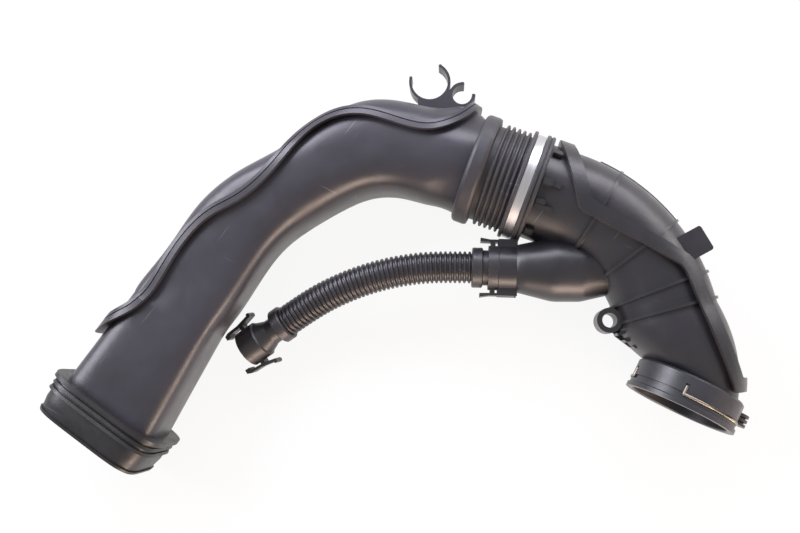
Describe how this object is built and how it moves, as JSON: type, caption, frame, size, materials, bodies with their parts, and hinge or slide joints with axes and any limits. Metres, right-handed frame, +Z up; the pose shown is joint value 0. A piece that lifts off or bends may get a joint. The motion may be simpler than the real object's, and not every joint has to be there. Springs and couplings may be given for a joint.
{
  "type": "air intake hose",
  "caption": "Curved engine air intake hose: welded duct with rectangular sealed inlet, rubber bellows, welded elbow with wire-clip outlet socket and corrugated breather hose.",
  "frame": {"origin": "middle of the rigid part's bounding box, on the surface it lies on", "axes": "+X along the longest extent, from the rectangular inlet towards the outlet elbow; +Y towards the top of the arch; +Z up, away from the surface it lies on"},
  "size_m": [0.5066, 0.303, 0.083],
  "materials": {
    "duct_plastic": "fine moulded grain",
    "elbow_plastic": "moulded",
    "socket_plastic": "moulded",
    "connector_plastic": "moulded",
    "hose_plastic": "extruded",
    "seal_rubber": "moulded rubber",
    "bellows_rubber": "moulded rubber",
    "clamp_steel": "rolled stainless band",
    "spring_wire": "drawn spring wire"
  },
  "bodies": {
    "root": {"duct_body": "duct_plastic", "duct_cover": "duct_plastic", "inlet_seal": "seal_rubber", "bellows": "bellows_rubber", "band_clamp": "clamp_steel", "elbow_body": "elbow_plastic", "elbow_cover": "elbow_plastic", "outlet_socket": "socket_plastic", "wire_clip": "spring_wire", "outlet_seal": "seal_rubber", "branch_connector": "connector_plastic", "branch_seal": "seal_rubber", "breather_hose": "hose_plastic", "quick_connector": "connector_plastic", "connector_seal": "seal_rubber"}
  },
  "joints": []
}
